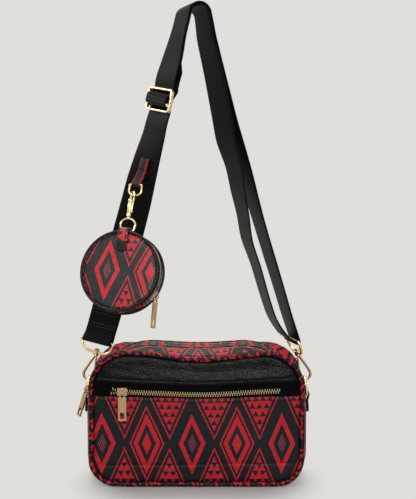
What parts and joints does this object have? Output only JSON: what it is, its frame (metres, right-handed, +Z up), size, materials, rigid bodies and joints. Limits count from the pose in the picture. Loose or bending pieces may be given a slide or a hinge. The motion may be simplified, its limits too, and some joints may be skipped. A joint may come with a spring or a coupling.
{
  "type": "crossbody bag with coin pouch",
  "caption": "Structured double-zip crossbody bag with front zip pocket, webbing strap on snap hooks, slide adjuster and a round coin pouch hanging from the strap.",
  "frame": {"origin": "middle of the bag's underside, on the surface that the bag stands on", "axes": "+X to the bag's right as seen from the front, -Y out of its front face, +Z up"},
  "size_m": [0.2461, 0.0958, 0.5],
  "materials": {
    "printed_leather": "soft coated leather printed with black and red diamonds and triangles, slight sheen",
    "pebbled_leather": "black pebble-grained coated leather",
    "black_tape": "woven black tape",
    "webbing": "black woven strap webbing",
    "lining": "plain black lining cloth",
    "brass_metal": "pale antique brass plating, soft polish"
  },
  "bodies": {
    "bag_and_strap": {"back_panel": "printed_leather", "divider_wall": "lining", "front_piping": "printed_leather", "front_pocket_panel": "printed_leather", "front_yoke": "pebbled_leather", "front_zip_chain": "brass_metal", "front_zip_tape": "black_tape", "gusset_bottom": "printed_leather", "gusset_top_front": "printed_leather", "gusset_top_middle": "printed_leather", "gusset_top_rear": "printed_leather", "pocket_back_wall": "lining", "rear_piping": "printed_leather", "left_tab": "printed_leather", "right_tab": "printed_leather", "top_front_zip_chain": "brass_metal", "top_front_zip_tape": "black_tape", "top_rear_zip_chain": "brass_metal", "top_rear_zip_tape": "black_tape", "strap_webbing": "webbing", "left_hook_eye": "brass_metal", "right_hook_eye": "brass_metal", "adjuster_frame": "brass_metal", "adjuster_pin": "brass_metal", "strap_tab": "printed_leather"},
    "front_slider": {"front_slider": "brass_metal"},
    "front_pull": {"front_pull": "brass_metal"},
    "top_front_slider": {"top_front_slider": "brass_metal"},
    "top_front_pull": {"top_front_pull": "brass_metal"},
    "top_rear_slider": {"top_rear_slider": "brass_metal"},
    "top_rear_pull": {"top_rear_pull": "brass_metal"},
    "left_d_ring": {"left_d_ring": "brass_metal"},
    "right_d_ring": {"right_d_ring": "brass_metal"},
    "left_hook": {"left_hook": "brass_metal"},
    "left_gate": {"left_hook_gate": "brass_metal"},
    "right_hook": {"right_hook": "brass_metal"},
    "right_gate": {"right_hook_gate": "brass_metal"},
    "tab_ring": {"tab_ring": "brass_metal"},
    "clasp": {"clasp_body": "brass_metal"},
    "clasp_lever": {"clasp_lever": "brass_metal"},
    "swivel_eye": {"swivel_eye": "brass_metal"},
    "pouch": {"pouch_back": "printed_leather", "pouch_back_binding": "black_tape", "pouch_front": "printed_leather", "pouch_front_binding": "black_tape", "pouch_gusset": "printed_leather", "pouch_tab": "printed_leather", "pouch_zip_chain": "brass_metal", "pouch_zip_tape": "black_tape"},
    "pouch_slider": {"pouch_slider": "brass_metal"},
    "pouch_pull": {"pouch_pull": "brass_metal"}
  },
  "joints": [
    {"name": "front_slider_run", "type": "slide", "parent": "bag_and_strap", "child": "front_slider", "axis": [1, 0, 0], "range_m": [0, 0.15]},
    {"name": "front_pull_swing", "type": "hinge", "parent": "front_slider", "child": "front_pull", "pos_m": [-0.0766, -0.0416, 0.0992], "axis": [-1, 0, 0], "range_deg": [0, 80]},
    {"name": "top_front_slider_run", "type": "hinge", "parent": "bag_and_strap", "child": "top_front_slider", "pos_m": [-0.044, -0.0155, 0.0755], "axis": [0, 1, 0], "range_deg": [0, 36]},
    {"name": "top_front_pull_swing", "type": "hinge", "parent": "top_front_slider", "child": "top_front_pull", "pos_m": [-0.11495, -0.0155, 0.09797], "axis": [-0.4782, 0.866, 0.1462], "range_deg": [-6, 38]},
    {"name": "top_rear_slider_run", "type": "hinge", "parent": "bag_and_strap", "child": "top_rear_slider", "pos_m": [-0.044, 0.0155, 0.0755], "axis": [0, 1, 0], "range_deg": [0, 68]},
    {"name": "top_rear_pull_swing", "type": "hinge", "parent": "top_rear_slider", "child": "top_rear_pull", "pos_m": [-0.11495, 0.0155, 0.09797], "axis": [0.4782, 0.866, -0.1462], "range_deg": [-6, 38]},
    {"name": "left_d_ring_swing", "type": "hinge", "parent": "bag_and_strap", "child": "left_d_ring", "pos_m": [-0.11546, 0, 0.091], "axis": [0, 1, 0], "range_deg": [-3, 1.5]},
    {"name": "right_d_ring_swing", "type": "hinge", "parent": "bag_and_strap", "child": "right_d_ring", "pos_m": [0.11546, 0, 0.091], "axis": [0, 1, 0], "range_deg": [-1.5, 3]},
    {"name": "left_hook_swivel", "type": "hinge", "parent": "bag_and_strap", "child": "left_hook", "pos_m": [-0.1056, 0, 0.1346], "axis": [-0.3236, 0, -0.9462], "range_deg": [-16, 16]},
    {"name": "left_gate_open", "type": "hinge", "parent": "left_hook", "child": "left_gate", "pos_m": [-0.1053, 0, 0.12805], "axis": [0, 1, 0], "range_deg": [0, 26], "stiffness_Nm_per_rad": 0.004, "springref_deg": -20.05},
    {"name": "right_hook_swivel", "type": "hinge", "parent": "bag_and_strap", "child": "right_hook", "pos_m": [0.1056, 0, 0.1346], "axis": [0.3236, 0, -0.9462], "range_deg": [-16, 16]},
    {"name": "right_gate_open", "type": "hinge", "parent": "right_hook", "child": "right_gate", "pos_m": [0.1053, 0, 0.12805], "axis": [0, -1, 0], "range_deg": [0, 26], "stiffness_Nm_per_rad": 0.004, "springref_deg": -20.05},
    {"name": "tab_ring_swing", "type": "hinge", "parent": "bag_and_strap", "child": "tab_ring", "pos_m": [-0.06295, -0.00538, 0.31093], "axis": [0.9542, -0.2986, -0.0177], "range_deg": [-30, 0]},
    {"name": "clasp_swing", "type": "hinge", "parent": "tab_ring", "child": "clasp", "pos_m": [-0.06415, -0.00856, 0.30005], "axis": [0.9542, -0.2986, -0.0177], "range_deg": [-30, 0]},
    {"name": "clasp_lever_open", "type": "hinge", "parent": "clasp", "child": "clasp_lever", "pos_m": [-0.067, -0.01394, 0.28518], "axis": [0.8966, 0.3888, -0.2122], "range_deg": [-18, 0], "stiffness_Nm_per_rad": 0.004, "springref_deg": 20.05},
    {"name": "swivel_eye_turn", "type": "hinge", "parent": "clasp", "child": "swivel_eye", "pos_m": [-0.07018, -0.01046, 0.27812], "axis": [0.105, 0.2789, 0.9546], "range_deg": [-20, 2]},
    {"name": "pouch_swing", "type": "hinge", "parent": "swivel_eye", "child": "pouch", "pos_m": [-0.07171, -0.01453, 0.26418], "axis": [0.9542, -0.2986, -0.0177], "range_deg": [-30, 3]},
    {"name": "pouch_slider_run", "type": "hinge", "parent": "pouch", "child": "pouch_slider", "pos_m": [-0.07633, -0.0268, 0.22218], "axis": [0.2801, 0.9127, -0.2974], "range_deg": [-84, 12]},
    {"name": "pouch_pull_swing", "type": "hinge", "parent": "pouch_slider", "child": "pouch_pull", "pos_m": [-0.0417, -0.04527, 0.19813], "axis": [-0.7206, -0.6437, 0.2576], "range_deg": [-38, 45]}
  ]
}
